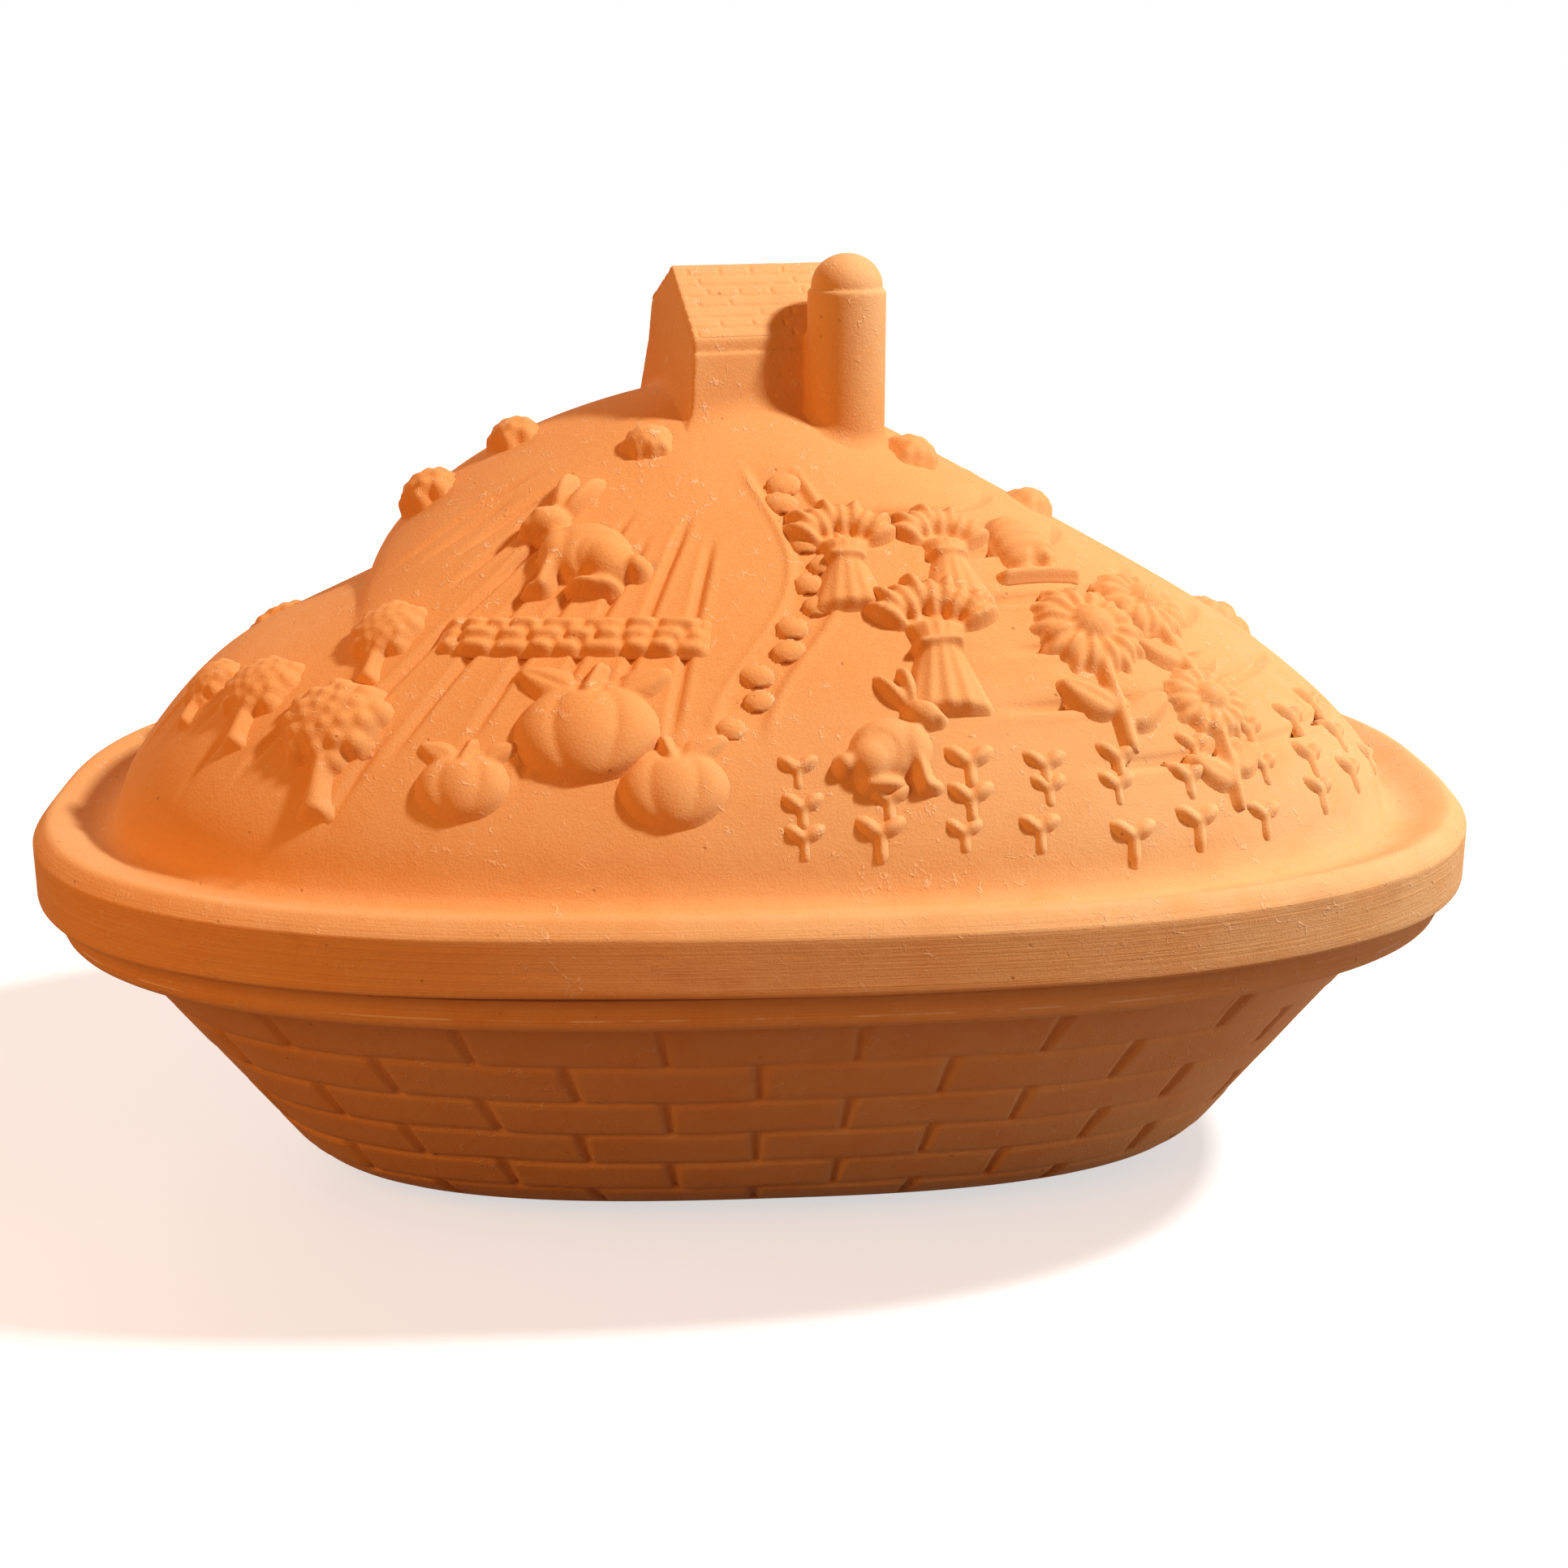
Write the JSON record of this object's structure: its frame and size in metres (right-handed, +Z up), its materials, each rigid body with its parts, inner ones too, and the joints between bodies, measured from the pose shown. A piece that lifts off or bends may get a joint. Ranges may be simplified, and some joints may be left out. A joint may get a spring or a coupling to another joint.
{
  "type": "clay baker",
  "caption": "Oval unglazed terracotta baker: a brick-patterned dish on a flat foot under a lift-off lid shaped as a hill, with a barn and silo as its handle.",
  "frame": {"origin": "middle of the flat foot, on the surface that the baker stands on", "axes": "+X along the baker's length, with the silo end of the handle towards +X, +Z up, -Y towards the front"},
  "size_m": [0.368, 0.244, 0.24],
  "materials": {
    "dish_clay": "matte unglazed fired clay with a pressed brick bond",
    "lid_clay": "matte unglazed fired clay with moulded relief"
  },
  "bodies": {
    "dish": {"dish": "dish_clay"},
    "lid": {"lid": "lid_clay"}
  },
  "joints": [
    {"name": "lid_lift", "type": "slide", "parent": "dish", "child": "lid", "axis": [0, 0, 1], "range_m": [0, 0.15]}
  ]
}
